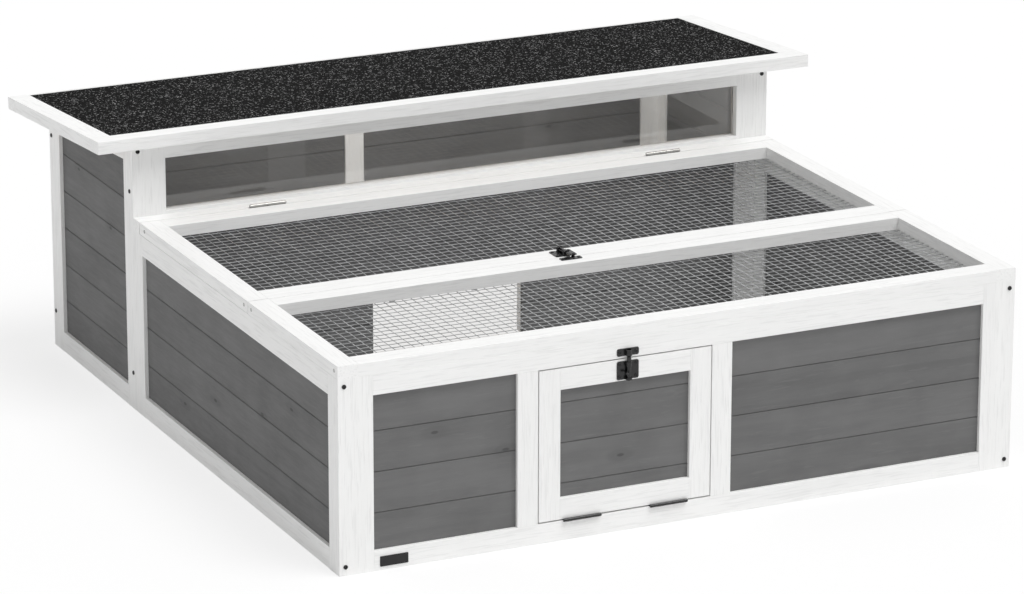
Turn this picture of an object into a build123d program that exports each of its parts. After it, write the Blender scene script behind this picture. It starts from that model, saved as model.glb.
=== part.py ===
from build123d import *
import os
from math import cos, radians, sin, tan

# A wooden tortoise house: an open-bottomed run under two mesh frames, and a felt-roofed hutch behind it.
# X runs to the right, Y runs from the front panel to the back wall, Z is up.
# The origin is on the ground, under the middle of the whole house.
# All sizes are in millimetres.

os.makedirs("parts", exist_ok=True)

# Walls
house_width = 943.0
house_depth = 995.5
run_depth = 679.5
run_wall_height = 253.0
hutch_front_height = 365.6
timber = 16.5
arris = 0.35

# Front panel, from the left end to the right end and from the ground up
front_end_stile = 46.5
front_left_boards = 193.0
front_door_post = 28.0
door_opening = 240.2
front_foot_rail = 25.8
front_head_rail = 26.4

# Run sides
run_front_stile = 14.1
run_back_stile = 30.6
side_foot_rail = 28.0
run_head_rail = 27.7

# Hutch sides
hutch_front_stile = 32.5
hutch_back_stile = 37.4
hutch_head_rail = 21.0

# Hutch front wall
window_stile = 30.5
window_sill_rise = 4.5
window_head_rail = 19.6
sill_rail = 28.0
hutch_foot_rail = 28.0
doorway_left = 346.0
doorway_width = 225.3
batten_width = 20.0
batten_thickness = 12.0
pane_thickness = 3.0
pane_recess = 11.3

# Back wall
back_stile = 28.0
back_middle_stile = 28.0
back_middle_offset = -24.0
back_foot_rail = 28.0
back_head_rail = 28.0

# Tongue-and-groove boards
board_thickness = 8.0
board_recess = 5.2
board_pitch = 52.8
lowest_seam = 73.1
board_groove = 5.5
board_gap = 0.3
board_vee = 1.1
tongue_height = 3.6
tongue_thickness = 2.6
tongue_clearance = 0.2
narrowest_board = 17.0

# Mesh frames and lid
mesh_side_rail = 28.0
mesh_front_rail = 29.8
mesh_middle_rail = 26.8
mesh_seam = 283.0
mesh_seam_gap = 1.5
lid_front_rail = 34.0
lid_back_rail = 30.5
lid_hinge_line = 656.5
lid_seat_gap = 0.3
net_pitch = 31.75
net_strand = 2.0
net_thickness = 1.2
net_margin = 8.0
net_side_gap = 1.0

# Door
door_side_gap = 1.3
door_head_gap = 1.6
door_stile = 29.2
door_rail = 27.8

# Roof
roof_slope = 4.2
roof_thickness = 17.0
roof_side_overhang = 53.8
roof_front_overhang = 20.5
roof_back_overhang = 12.6
roof_front_rail = 31.8
roof_side_rail = 28.8
roof_back_rail = 30.0
roof_seat_gap = 0.3
roof_batten = 30.0
roof_batten_spacing = 340.0
deck_thickness = 6.0
felt_thickness = 2.0
felt_set_down = 0.5
felt_back_margin = 7.2

# Butt hinges
hinge_length = 50.8
hinge_leaf = 0.8
hinge_leaf_width = 12.0
hinge_leaf_clearance = 0.4
knuckle_radius = 2.2
knuckle_count = 5
knuckle_gap = 0.2
knuckle_stand = 0.15
pin_radius = 1.1
pin_clearance = 0.05
pin_head_radius = 1.8
pin_head = 0.6
door_hinge_spacing = 120.2
lid_hinge_spacing = 588.0
lid_hinge_offset = 5.0
roof_hinge_spacing = 600.0
roof_leaf_margin = 0.5

# Barrel latches
latch_width = 30.0
latch_plate = 1.0
latch_corner = 2.2
latch_body_length = 23.8
latch_keeper_length = 9.5
latch_keeper_gap = 6.8
latch_set_back = 2.3
latch_upper_strap = 6.3
latch_lower_strap = 2.9
latch_keeper_strap = 7.5
latch_strap_wall = 1.2
bolt_radius = 2.7
bolt_lift = 0.3
bolt_clearance = 0.08
bolt_keeper_clearance = 0.4
bolt_tip_gap = 0.3
bolt_tail = 0.8
bolt_tip_chamfer = 0.6
knob_height = 9.5
knob_reach = 6.5
knob_shank = 1.2
knob_radius = 2.0
knob_angle = 45.0
latch_screw_inset = 3.6
door_latch_offset = 2.0
lid_latch_offset = -27.0

# Screws
screw_head_radius = 2.9
screw_head = 1.3
screw_radius = 1.8
screw_length = 36.0
screw_clearance = 0.1
screw_dome = 0.8
screw_recess = 3.0
front_screw_low = 11.2
front_screw_drop = 10.1
hutch_screw_low = 50.9
hutch_screw_drop = 62.5
hutch_front_screw_drop = 6.5
hutch_front_screw_inset = 11.0
latch_screw_head_radius = 2.1
latch_screw_head = 0.9
latch_screw_radius = 1.2
latch_screw_to_boards = 0.7
latch_screw_dome = 0.5
latch_screw_recess = 2.2
recess_width = 0.7
recess_depth = 0.6

# Bare plate on the front
plate_width = 37.6
plate_height = 13.2
plate_thickness = 0.8
plate_from_left = 54.0
plate_from_ground = 4.6
plate_corner = 1.0

# Places that follow from the sizes above
bolt_height = latch_plate + bolt_lift + bolt_radius
latch_screw_length = latch_plate + board_recess - latch_screw_to_boards
front_reach = bolt_height + knob_reach * sin(radians(knob_angle)) + knob_radius
left = -house_width / 2
right = house_width / 2
front = (front_reach - house_depth - roof_back_overhang) / 2
hutch_face = front + run_depth
back_face = front + house_depth
back_inner = back_face - timber
frame_top = run_wall_height + timber
slope = radians(roof_slope)
hinge_stand = knuckle_radius + knuckle_stand
hinge_seam = 2 * hinge_leaf + hinge_leaf_clearance
strap_radius = bolt_radius + latch_strap_wall


def roof_line(y):
    """Height of the hutch walls' sloping tops at a distance y from the origin."""
    return hutch_front_height - (y - hutch_face) * tan(slope)


roof_normal = (0, sin(slope), cos(slope))
wall_top_plane = Plane(origin=(0, hutch_face, hutch_front_height), x_dir=(1, 0, 0), z_dir=roof_normal)


def save(piece, label):
    """Name a finished piece and write it to its own file."""
    piece.part.label = label
    export_step(piece.part, f"parts/{label}.step")


def block(low, high, mode=Mode.ADD):
    """Add or cut a plain box between two opposite corners."""
    with Locations(tuple((a + b) / 2 for a, b in zip(low, high))):
        Box(*[b - a for a, b in zip(low, high)], mode=mode)


def bar(low, high):
    """Add one length of timber between two opposite corners, its four long edges eased."""
    block(low, high)
    chamfer(edges(Select.LAST).group_by(SortBy.LENGTH)[-1], arris)


def cut_to_roof():
    """Bevel the tops of the pieces made so far to the slope of the roof."""
    split(bisect_by=wall_top_plane, keep=Keep.BOTTOM)


# Fields of boards, each let into grooves in the frame around it

def field_across(start, end, face, bottom, top):
    """Corners of a field that faces front or back; start and end are the frame's edges, face its low Y."""
    low = (start - board_groove, face, bottom - board_groove)
    high = (end + board_groove, face + board_thickness, top + board_groove)
    return low, high


def field_along(start, end, face, bottom, top):
    """Corners of a field that faces left or right; start and end are the frame's edges, face its low X."""
    low = (face, start - board_groove, bottom - board_groove)
    high = (face + board_thickness, end + board_groove, top + board_groove)
    return low, high


def board_rows(bottom, top):
    """Lower and upper edges of the boards in a field, with seams at the same heights all round the house."""
    seams = []
    seam = lowest_seam
    while seam < top - narrowest_board:
        if seam > bottom + narrowest_board:
            seams.append(seam)
        seam += board_pitch
    return list(zip([bottom] + seams, seams + [top]))


def board_section(bottom, top, lowest, highest):
    """Draw one board's section about its middle plane: vee-jointed edges, a tongue above, a groove below."""
    half = board_thickness / 2
    tongue = tongue_thickness / 2
    slot = tongue + tongue_clearance
    slot_top = bottom + tongue_height + tongue_clearance
    shoulder = top - board_gap
    below = [(-half, bottom), (half, bottom)]
    if not lowest:
        below = [
            (-half, bottom + board_vee),
            (board_vee - half, bottom),
            (-slot, bottom),
            (-slot, slot_top),
            (slot, slot_top),
            (slot, bottom),
            (half - board_vee, bottom),
            (half, bottom + board_vee),
        ]
    above = [(half, top), (-half, top)]
    if not highest:
        above = [
            (half, shoulder - board_vee),
            (half - board_vee, shoulder),
            (tongue, shoulder),
            (tongue, shoulder + tongue_height),
            (-tongue, shoulder + tongue_height),
            (-tongue, shoulder),
            (board_vee - half, shoulder),
            (-half, shoulder - board_vee),
        ]
    Polygon(*below, *above)


def lay_boards(low, high):
    """Fill a field with level tongue-and-groove boards that run along its longer side."""
    centre = ((low[0] + high[0]) / 2, (low[1] + high[1]) / 2, 0)
    if high[0] - low[0] > high[1] - low[1]:
        length = high[0] - low[0]
        section = Plane(origin=centre, x_dir=(0, 1, 0), z_dir=(1, 0, 0))
    else:
        length = high[1] - low[1]
        section = Plane(origin=centre, x_dir=(1, 0, 0), z_dir=(0, -1, 0))
    rows = board_rows(low[2], high[2])
    with BuildSketch(section) as sections:
        for bottom, top in rows:
            board_section(bottom, top, bottom == low[2], top == high[2])
    extrude(sections.sketch, amount=length / 2, both=True)


# Screw seats: each plane's origin is under a screw's head, and its Z axis points out of the timber

def seat(x, y, z, outward):
    """A screw's seat at a point, facing outward."""
    return Plane(origin=(x, y, z), z_dir=outward)


def panel_screw_seats():
    """Seats of the black screws that hold the panels to each other."""
    seats = []
    for x in (left + timber / 2, right - timber / 2):
        for z in (front_screw_low, run_wall_height - front_screw_drop):
            seats.append(seat(x, front, z, (0, -1, 0)))
        seats.append(seat(x, hutch_face, hutch_front_height - hutch_front_screw_drop, (0, -1, 0)))
    for y in (hutch_face + hutch_front_screw_inset, back_face - timber / 2):
        for z in (hutch_screw_low, hutch_front_height - hutch_screw_drop):
            seats.append(seat(left, y, z, (-1, 0, 0)))
            seats.append(seat(right, y, z, (1, 0, 0)))
    return seats


def drill(seats, radius, length):
    """Cut clearance holes for screws, and nothing where a screw misses the piece."""
    with Locations(*seats):
        Cylinder(
            radius + screw_clearance,
            length + screw_clearance,
            align=(Align.CENTER, Align.CENTER, Align.MAX),
            mode=Mode.SUBTRACT,
        )


def drive(seats, head_radius, head, dome, recess, radius, length):
    """Add one domed screw with a cross recess at each seat."""
    with Locations(*seats):
        Cylinder(head_radius, head, align=(Align.CENTER, Align.CENTER, Align.MIN))
        Cylinder(radius, length, align=(Align.CENTER, Align.CENTER, Align.MAX))
    tops = [Plane(origin=place.origin + place.z_dir * head, z_dir=place.z_dir) for place in seats]
    fillet([faces().sort_by_distance(top.origin)[0].edge() for top in tops], dome)
    with Locations(*tops):
        Box(recess, recess_width, 2 * recess_depth, mode=Mode.SUBTRACT)
        Box(recess_width, recess, 2 * recess_depth, mode=Mode.SUBTRACT)


panel_seats = panel_screw_seats()


def drill_panel_screws():
    """Cut the holes of the panel screws that pass through the current piece."""
    drill(panel_seats, screw_radius, screw_length)


# Barrel latches, drawn on a plane whose Y axis points at the keeper and whose Z axis points out of the timber

door_centre = left + front_end_stile + front_left_boards + front_door_post + door_opening / 2
door_bottom = front_foot_rail + hinge_seam
door_top = run_wall_height - front_head_rail - door_head_gap
lid_front = front + mesh_seam + mesh_seam_gap / 2
door_latch_plane = Plane(
    origin=(door_centre + door_latch_offset, front, door_top - latch_set_back),
    x_dir=(1, 0, 0),
    z_dir=(0, -1, 0),
)
lid_latch_plane = Plane(
    origin=(lid_latch_offset, lid_front + latch_set_back, frame_top),
    x_dir=(-1, 0, 0),
    z_dir=(0, 0, 1),
)


def latch_screw_points(middle, length):
    """Screw places across a latch plate: two in a short one, four in a long one."""
    side = latch_width / 2 - latch_screw_inset
    rise = length / 2 - latch_screw_inset
    rises = (-rise, rise) if rise > latch_screw_inset else (0,)
    return [(x, middle + y) for x in (-side, side) for y in rises]


def latch_seats(plane, middle, length):
    """Seats of a latch plate's screws, on top of the plate."""
    seats = []
    for x, y in latch_screw_points(middle, length):
        place = plane.from_local_coords(Vector(x, y, latch_plate))
        seats.append(Plane(origin=place, z_dir=plane.z_dir))
    return seats


body_middle = -latch_body_length / 2
keeper_middle = latch_keeper_gap + latch_keeper_length / 2
door_body_seats = latch_seats(door_latch_plane, body_middle, latch_body_length)
lid_body_seats = latch_seats(lid_latch_plane, body_middle, latch_body_length)
keeper_seats = [
    *latch_seats(door_latch_plane, keeper_middle, latch_keeper_length),
    *latch_seats(lid_latch_plane, keeper_middle, latch_keeper_length),
]


def drill_latch_screws():
    """Cut the holes of the latch screws that pass through the current piece."""
    drill([*door_body_seats, *lid_body_seats, *keeper_seats], latch_screw_radius, latch_screw_length)


def rounded_plate(plane, middle, width, length, corner, thickness):
    """Add a flat plate with rounded corners, its middle at a point of the plane."""
    with BuildSketch(plane) as outline:
        with Locations(middle):
            RectangleRounded(width, length, corner)
    extrude(outline.sketch, amount=thickness)


def strap(start, end):
    """Add a raised strap over the bolt, between two distances along it."""
    middle = (start + end) / 2
    with Locations((0, middle, 0)):
        Box(2 * strap_radius, end - start, bolt_height, align=(Align.CENTER, Align.CENTER, Align.MIN))
    with Locations((0, middle, bolt_height)):
        Cylinder(strap_radius, end - start, rotation=(90, 0, 0))


def bolt_bore(middle, length, clearance):
    """Cut the bolt's bore through the straps."""
    with Locations((0, middle, bolt_height)):
        Cylinder(bolt_radius + clearance, length, rotation=(90, 0, 0), mode=Mode.SUBTRACT)


def make_latch(name, plane, knob_side):
    """Make a latch's body, its sliding bolt and its keeper, all on one plane."""
    with BuildPart(plane) as body:
        rounded_plate(plane, (0, body_middle), latch_width, latch_body_length, latch_corner, latch_plate)
        strap(-latch_upper_strap, 0)
        strap(-latch_body_length, latch_lower_strap - latch_body_length)
        bolt_bore(body_middle, 2 * latch_body_length, bolt_clearance)
        drill_latch_screws_here(body_middle, latch_body_length)
    save(body, f"{name}_latch_body")

    tip = latch_keeper_gap - bolt_tip_gap
    bolt_length = latch_body_length + bolt_tail + tip
    with BuildPart(plane) as bolt:
        with Locations((0, tip - bolt_length / 2, bolt_height)):
            Cylinder(bolt_radius, bolt_length, rotation=(90, 0, 0))
        chamfer(bolt.edges().filter_by(GeomType.CIRCLE), bolt_tip_chamfer)
        with Locations(Location((0, knob_height - latch_body_length, bolt_height), (0, knob_side * knob_angle, 0))):
            Cylinder(knob_shank, knob_reach, align=(Align.CENTER, Align.CENTER, Align.MIN))
            with Locations((0, 0, knob_reach)):
                Sphere(knob_radius)
    save(bolt, f"{name}_latch_bolt")

    with BuildPart(plane) as keeper:
        rounded_plate(plane, (0, keeper_middle), latch_width, latch_keeper_length, latch_corner, latch_plate)
        strap(keeper_middle - latch_keeper_strap / 2, keeper_middle + latch_keeper_strap / 2)
        bolt_bore(keeper_middle, 2 * latch_keeper_length, bolt_keeper_clearance)
        drill_latch_screws_here(keeper_middle, latch_keeper_length)
    save(keeper, f"{name}_latch_keeper")


def drill_latch_screws_here(middle, length):
    """Cut a plate's own screw holes, on the latch's plane."""
    with Locations(*[(x, y, latch_plate) for x, y in latch_screw_points(middle, length)]):
        Cylinder(
            latch_screw_radius + screw_clearance,
            latch_screw_length,
            align=(Align.CENTER, Align.CENTER, Align.MAX),
            mode=Mode.SUBTRACT,
        )


# Butt hinges: a leaf's plane has its origin on the pin, its X axis along the pin, its Y axis along the leaf
# away from the pin, and its Z axis towards the timber that the leaf is fixed to

def leaf(offset, width, first_knuckle):
    """Add one leaf whose near face is at an offset from the pin, with every second knuckle."""
    with Locations((0, (hinge_stand + width) / 2, offset + hinge_leaf / 2)):
        Box(hinge_length, width - hinge_stand, hinge_leaf)
    pitch = hinge_length / knuckle_count
    places = [(i + 0.5) * pitch - hinge_length / 2 for i in range(first_knuckle, knuckle_count, 2)]
    with Locations(*[(x, 0, 0) for x in places]):
        Cylinder(knuckle_radius, pitch - knuckle_gap, rotation=(0, 90, 0))
    with Locations(*[(x, hinge_stand / 2, offset + hinge_leaf / 2) for x in places]):
        Box(pitch - knuckle_gap, hinge_stand, hinge_leaf)
    Cylinder(pin_radius + pin_clearance, 2 * hinge_length, rotation=(0, 90, 0), mode=Mode.SUBTRACT)


def make_hinges(name, spacing, pin_point, fixed_axes, moving_axes, offset, moving_width):
    """Make a pair of hinges as three nodes: fixed leaves, moving leaves and pins."""
    origins = [(pin_point[0] + x, pin_point[1], pin_point[2]) for x in (-spacing / 2, spacing / 2)]
    with BuildPart(*[Plane(origin=p, x_dir=fixed_axes[0], z_dir=fixed_axes[1]) for p in origins]) as fixed_leaves:
        leaf(offset, hinge_leaf_width, 0)
    save(fixed_leaves, f"{name}_hinge_fixed_leaves")

    with BuildPart(*[Plane(origin=p, x_dir=moving_axes[0], z_dir=moving_axes[1]) for p in origins]) as moving_leaves:
        leaf(offset, moving_width, 1)
    save(moving_leaves, f"{name}_hinge_moving_leaves")

    with BuildPart(*[Plane(origin=p, x_dir=(0, 1, 0), z_dir=(1, 0, 0)) for p in origins]) as pins:
        Cylinder(pin_radius, hinge_length)
        with Locations((0, 0, (hinge_length + pin_head) / 2), (0, 0, -(hinge_length + pin_head) / 2)):
            Cylinder(pin_head_radius, pin_head)
    save(pins, f"{name}_hinge_pins")


# Front panel

left_boards_start = left + front_end_stile
left_boards_end = left_boards_start + front_left_boards
opening_start = left_boards_end + front_door_post
opening_end = opening_start + door_opening
right_boards_start = opening_end + front_door_post
right_boards_end = right - front_end_stile
front_head = run_wall_height - front_head_rail
front_fields = [
    field_across(left_boards_start, left_boards_end, front + board_recess, front_foot_rail, front_head),
    field_across(right_boards_start, right_boards_end, front + board_recess, front_foot_rail, front_head),
]

with BuildPart() as front_end_stiles:
    bar((left, front, 0), (left_boards_start, front + timber, run_wall_height))
    bar((right_boards_end, front, 0), (right, front + timber, run_wall_height))
    for field in front_fields:
        block(*field, mode=Mode.SUBTRACT)
    drill_panel_screws()
save(front_end_stiles, "front_end_stiles")

with BuildPart() as front_door_posts:
    bar((left_boards_end, front, front_foot_rail), (opening_start, front + timber, front_head))
    bar((opening_end, front, front_foot_rail), (right_boards_start, front + timber, front_head))
    for field in front_fields:
        block(*field, mode=Mode.SUBTRACT)
save(front_door_posts, "front_door_posts")

with BuildPart() as front_rails:
    bar((left_boards_start, front, 0), (right_boards_end, front + timber, front_foot_rail))
    bar((left_boards_start, front, front_head), (right_boards_end, front + timber, run_wall_height))
    for field in front_fields:
        block(*field, mode=Mode.SUBTRACT)
    drill_latch_screws()
save(front_rails, "front_rails")

with BuildPart() as front_boards:
    for field in front_fields:
        lay_boards(*field)
save(front_boards, "front_boards")

with BuildPart() as bare_plate:
    rounded_plate(
        Plane(origin=(left, front, 0), x_dir=(1, 0, 0), z_dir=(0, -1, 0)),
        (plate_from_left + plate_width / 2, plate_from_ground + plate_height / 2),
        plate_width,
        plate_height,
        plate_corner,
        plate_thickness,
    )
save(bare_plate, "bare_plate")

# Run sides: their front edges butt against the back of the front panel

run_side_start = front + timber
run_boards_start = run_side_start + run_front_stile
run_boards_end = hutch_face - run_back_stile
run_head = run_wall_height - run_head_rail

for side, outer, board_face in (
    ("left", left, left + board_recess),
    ("right", right - timber, right - board_recess - board_thickness),
):
    inner = outer + timber
    run_field = field_along(run_boards_start, run_boards_end, board_face, side_foot_rail, run_head)

    with BuildPart() as run_stiles:
        bar((outer, run_side_start, 0), (inner, run_boards_start, run_wall_height))
        bar((outer, run_boards_end, 0), (inner, hutch_face, run_wall_height))
        block(*run_field, mode=Mode.SUBTRACT)
        drill_panel_screws()
    save(run_stiles, f"run_{side}_stiles")

    with BuildPart() as run_rails:
        bar((outer, run_boards_start, 0), (inner, run_boards_end, side_foot_rail))
        bar((outer, run_boards_start, run_head), (inner, run_boards_end, run_wall_height))
        block(*run_field, mode=Mode.SUBTRACT)
        drill_panel_screws()
    save(run_rails, f"run_{side}_rails")

    with BuildPart() as run_boards:
        lay_boards(*run_field)
        drill_panel_screws()
    save(run_boards, f"run_{side}_boards")

# Hutch sides: they overlap the ends of the hutch's front and back walls

hutch_boards_start = hutch_face + hutch_front_stile
hutch_boards_end = back_face - hutch_back_stile


def hutch_side_outline(middle, half_width, margin, drop, bottom, mode):
    """Extrude the shape between the hutch's side stiles, with its top a drop below the roof line."""
    start = hutch_boards_start - margin
    end = hutch_boards_end + margin
    with BuildSketch(Plane.YZ.offset(middle)) as outline:
        Polygon(
            (start, bottom),
            (end, bottom),
            (end, roof_line(end) - drop),
            (start, roof_line(start) - drop),
        )
    extrude(outline.sketch, amount=half_width, both=True, mode=mode)


def hutch_side_field(middle, mode):
    """The hutch side's field of boards, let into its frame."""
    drop = (hutch_head_rail - board_groove) / cos(slope)
    bottom = side_foot_rail - board_groove
    hutch_side_outline(middle, board_thickness / 2, board_groove, drop, bottom, mode)


for side, outer, board_face in (
    ("left", left, left + board_recess),
    ("right", right - timber, right - board_recess - board_thickness),
):
    inner = outer + timber
    board_middle = board_face + board_thickness / 2

    with BuildPart() as hutch_stiles:
        bar((outer, hutch_face, 0), (inner, hutch_boards_start, hutch_front_height))
        bar((outer, hutch_boards_end, 0), (inner, back_face, hutch_front_height))
        cut_to_roof()
        hutch_side_field(board_middle, Mode.SUBTRACT)
        drill_panel_screws()
    save(hutch_stiles, f"hutch_{side}_stiles")

    with BuildPart() as hutch_rails:
        bar((outer, hutch_boards_start, 0), (inner, hutch_boards_end, side_foot_rail))
        hutch_side_outline(
            (outer + inner) / 2, timber / 2, 0, 0, hutch_front_height - (hutch_boards_end - hutch_face), Mode.ADD
        )
        hutch_side_outline(
            (outer + inner) / 2, timber, board_groove, hutch_head_rail / cos(slope), side_foot_rail, Mode.SUBTRACT
        )
        hutch_side_field(board_middle, Mode.SUBTRACT)
        drill_panel_screws()
    save(hutch_rails, f"hutch_{side}_rails")

    with BuildPart() as hutch_boards:
        top_corner = roof_line(hutch_boards_start - board_groove) - hutch_head_rail
        lay_boards(*field_along(hutch_boards_start, hutch_boards_end, board_face, side_foot_rail, top_corner))
        hutch_side_field(board_middle, Mode.INTERSECT)
        drill_panel_screws()
    save(hutch_boards, f"hutch_{side}_boards")

# Hutch front wall: window above, boards with a doorway below

wall_left = left + timber
wall_right = right - timber
window_left = wall_left + window_stile
window_right = wall_right - window_stile
window_sill_height = frame_top + window_sill_rise
window_head_height = hutch_front_height - window_head_rail
sill_bottom = window_sill_height - sill_rail
hutch_inner = hutch_face + timber
divider_field = field_across(
    window_left, window_right, hutch_face + board_recess, hutch_foot_rail, sill_bottom
)
doorway_start = left + doorway_left
doorway_end = doorway_start + doorway_width
doorway_top = lowest_seam + board_pitch
pane_front = hutch_face + pane_recess
pane_low = (window_left - board_groove, pane_front, window_sill_height - board_groove)
pane_high = (window_right + board_groove, pane_front + pane_thickness, window_head_height + board_groove)

with BuildPart() as hutch_front_stiles:
    bar((wall_left, hutch_face, 0), (window_left, hutch_inner, hutch_front_height))
    bar((window_right, hutch_face, 0), (wall_right, hutch_inner, hutch_front_height))
    cut_to_roof()
    block(*divider_field, mode=Mode.SUBTRACT)
    block(pane_low, pane_high, mode=Mode.SUBTRACT)
    drill_panel_screws()
save(hutch_front_stiles, "hutch_front_stiles")

with BuildPart() as hutch_front_rails:
    bar((window_left, hutch_face, 0), (window_right, hutch_inner, hutch_foot_rail))
    bar((window_left, hutch_face, sill_bottom), (window_right, hutch_inner, window_sill_height))
    bar((window_left, hutch_face, window_head_height), (window_right, hutch_inner, hutch_front_height))
    cut_to_roof()
    block(*divider_field, mode=Mode.SUBTRACT)
    block(pane_low, pane_high, mode=Mode.SUBTRACT)
save(hutch_front_rails, "hutch_front_rails")

with BuildPart() as divider_boards:
    lay_boards(*divider_field)
    block((doorway_start, hutch_face, 0), (doorway_end, hutch_inner, doorway_top), mode=Mode.SUBTRACT)
    tongue_middle = hutch_face + board_recess + board_thickness / 2
    tongue_slot = tongue_thickness / 2 + tongue_clearance
    block(
        (doorway_start, tongue_middle - tongue_slot, hutch_foot_rail),
        (doorway_end, tongue_middle + tongue_slot, doorway_top + tongue_height + tongue_clearance),
        mode=Mode.SUBTRACT,
    )
save(divider_boards, "divider_boards")

batten_face = hutch_face + board_recess + board_thickness
with BuildPart() as doorway_battens:
    for start in (doorway_start - batten_width, doorway_end):
        bar(
            (start, batten_face, hutch_foot_rail),
            (start + batten_width, batten_face + batten_thickness, sill_bottom),
        )
save(doorway_battens, "doorway_battens")

with BuildPart() as window_pane:
    block(pane_low, pane_high)
save(window_pane, "window_pane")

# Back wall

back_left_end = wall_left + back_stile
back_right_start = wall_right - back_stile
middle_start = back_middle_offset - back_middle_stile / 2
middle_end = middle_start + back_middle_stile
back_height = roof_line(back_inner)
back_head = back_height - back_head_rail
back_board_face = back_face - board_recess - board_thickness
back_fields = [
    field_across(back_left_end, middle_start, back_board_face, back_foot_rail, back_head),
    field_across(middle_end, back_right_start, back_board_face, back_foot_rail, back_head),
]

with BuildPart() as back_stiles:
    bar((wall_left, back_inner, 0), (back_left_end, back_face, back_height))
    bar((middle_start, back_inner, back_foot_rail), (middle_end, back_face, back_head))
    bar((back_right_start, back_inner, 0), (wall_right, back_face, back_height))
    cut_to_roof()
    for field in back_fields:
        block(*field, mode=Mode.SUBTRACT)
    drill_panel_screws()
save(back_stiles, "back_stiles")

with BuildPart() as back_rails:
    bar((back_left_end, back_inner, 0), (back_right_start, back_face, back_foot_rail))
    bar((back_left_end, back_inner, back_head), (back_right_start, back_face, back_height))
    cut_to_roof()
    for field in back_fields:
        block(*field, mode=Mode.SUBTRACT)
save(back_rails, "back_rails")

with BuildPart() as back_boards:
    for field in back_fields:
        lay_boards(*field)
    drill_panel_screws()
save(back_boards, "back_boards")

# Mesh frames: a fixed one over the front of the run, and the lid behind it

mesh_frame_back = front + mesh_seam - mesh_seam_gap / 2
lid_back = front + lid_hinge_line - hinge_seam / 2
ledge_front = front + lid_hinge_line + hinge_seam / 2
lid_bottom = run_wall_height + lid_seat_gap
mesh_left = left + mesh_side_rail
mesh_right = right - mesh_side_rail


def net(start, end, opening, top):
    """Add a welded net between two distances from the front, under a frame's opening of a given depth."""
    width = house_width - 2 * (timber + net_side_gap)
    columns = round((mesh_right - mesh_left) / net_pitch)
    rows = round(opening / net_pitch)
    gap = net_pitch - net_strand
    with BuildSketch(Plane.XY.offset(top - net_thickness)) as weave:
        with Locations((0, (start + end) / 2)):
            Rectangle(width, end - start)
            with GridLocations(net_pitch, net_pitch, columns, rows):
                Rectangle(gap, gap, mode=Mode.SUBTRACT)
    extrude(weave.sketch, amount=net_thickness)


with BuildPart() as mesh_frame_sides:
    bar((left, front, run_wall_height), (mesh_left, mesh_frame_back, frame_top))
    bar((mesh_right, front, run_wall_height), (right, mesh_frame_back, frame_top))
save(mesh_frame_sides, "mesh_frame_sides")

with BuildPart() as mesh_frame_rails:
    bar((mesh_left, front, run_wall_height), (mesh_right, front + mesh_front_rail, frame_top))
    bar((mesh_left, mesh_frame_back - mesh_middle_rail, run_wall_height), (mesh_right, mesh_frame_back, frame_top))
    drill_latch_screws()
save(mesh_frame_rails, "mesh_frame_rails")

with BuildPart() as front_net:
    front_opening = mesh_frame_back - mesh_middle_rail - front - mesh_front_rail
    net(front + timber + net_side_gap, mesh_frame_back - net_margin, front_opening, run_wall_height)
save(front_net, "front_net")

with BuildPart() as hinge_ledge:
    bar((left, ledge_front, run_wall_height), (right, hutch_face, frame_top))
save(hinge_ledge, "hinge_ledge")

with BuildPart() as lid_sides:
    bar((left, lid_front, lid_bottom), (mesh_left, lid_back, frame_top))
    bar((mesh_right, lid_front, lid_bottom), (right, lid_back, frame_top))
save(lid_sides, "lid_sides")

with BuildPart() as lid_rails:
    bar((mesh_left, lid_front, lid_bottom), (mesh_right, lid_front + lid_front_rail, frame_top))
    bar((mesh_left, lid_back - lid_back_rail, lid_bottom), (mesh_right, lid_back, frame_top))
    drill_latch_screws()
save(lid_rails, "lid_rails")

with BuildPart() as lid_net:
    lid_opening = lid_back - lid_back_rail - lid_front - lid_front_rail
    net(lid_front + net_margin, lid_back - net_margin, lid_opening, lid_bottom)
save(lid_net, "lid_net")

# Door

door_left = opening_start + door_side_gap
door_right = opening_end - door_side_gap
door_field = field_across(
    door_left + door_stile,
    door_right - door_stile,
    front + board_recess,
    door_bottom + door_rail,
    door_top - door_rail,
)

with BuildPart() as door_stiles:
    bar((door_left, front, door_bottom), (door_left + door_stile, front + timber, door_top))
    bar((door_right - door_stile, front, door_bottom), (door_right, front + timber, door_top))
    block(*door_field, mode=Mode.SUBTRACT)
save(door_stiles, "door_stiles")

with BuildPart() as door_rails:
    for bottom in (door_bottom, door_top - door_rail):
        bar((door_left + door_stile, front, bottom), (door_right - door_stile, front + timber, bottom + door_rail))
    block(*door_field, mode=Mode.SUBTRACT)
    drill_latch_screws()
save(door_rails, "door_rails")

with BuildPart() as door_boards:
    lay_boards(*door_field)
save(door_boards, "door_boards")

# Roof, drawn on its own sloping underside

roof_front_y = hutch_face - roof_front_overhang
roof_clear = roof_seat_gap / cos(slope)
roof_plane = Plane(
    origin=(0, roof_front_y, roof_line(roof_front_y) + roof_clear),
    x_dir=(1, 0, 0),
    z_dir=roof_normal,
)
roof_length = (back_face + roof_back_overhang - roof_thickness * sin(slope) - roof_front_y) / cos(slope)
roof_half = house_width / 2 + roof_side_overhang
felt_half = roof_half - roof_side_rail
back_rail_start = roof_length - roof_back_rail
felt_top = roof_thickness - felt_set_down
deck_top = felt_top - felt_thickness
deck_bottom = deck_top - deck_thickness
felt_end = roof_length - felt_back_margin

with BuildPart(roof_plane) as roof_front_rail_piece:
    bar((-roof_half, 0, 0), (roof_half, roof_front_rail, roof_thickness))
save(roof_front_rail_piece, "roof_front_rail")

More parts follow.
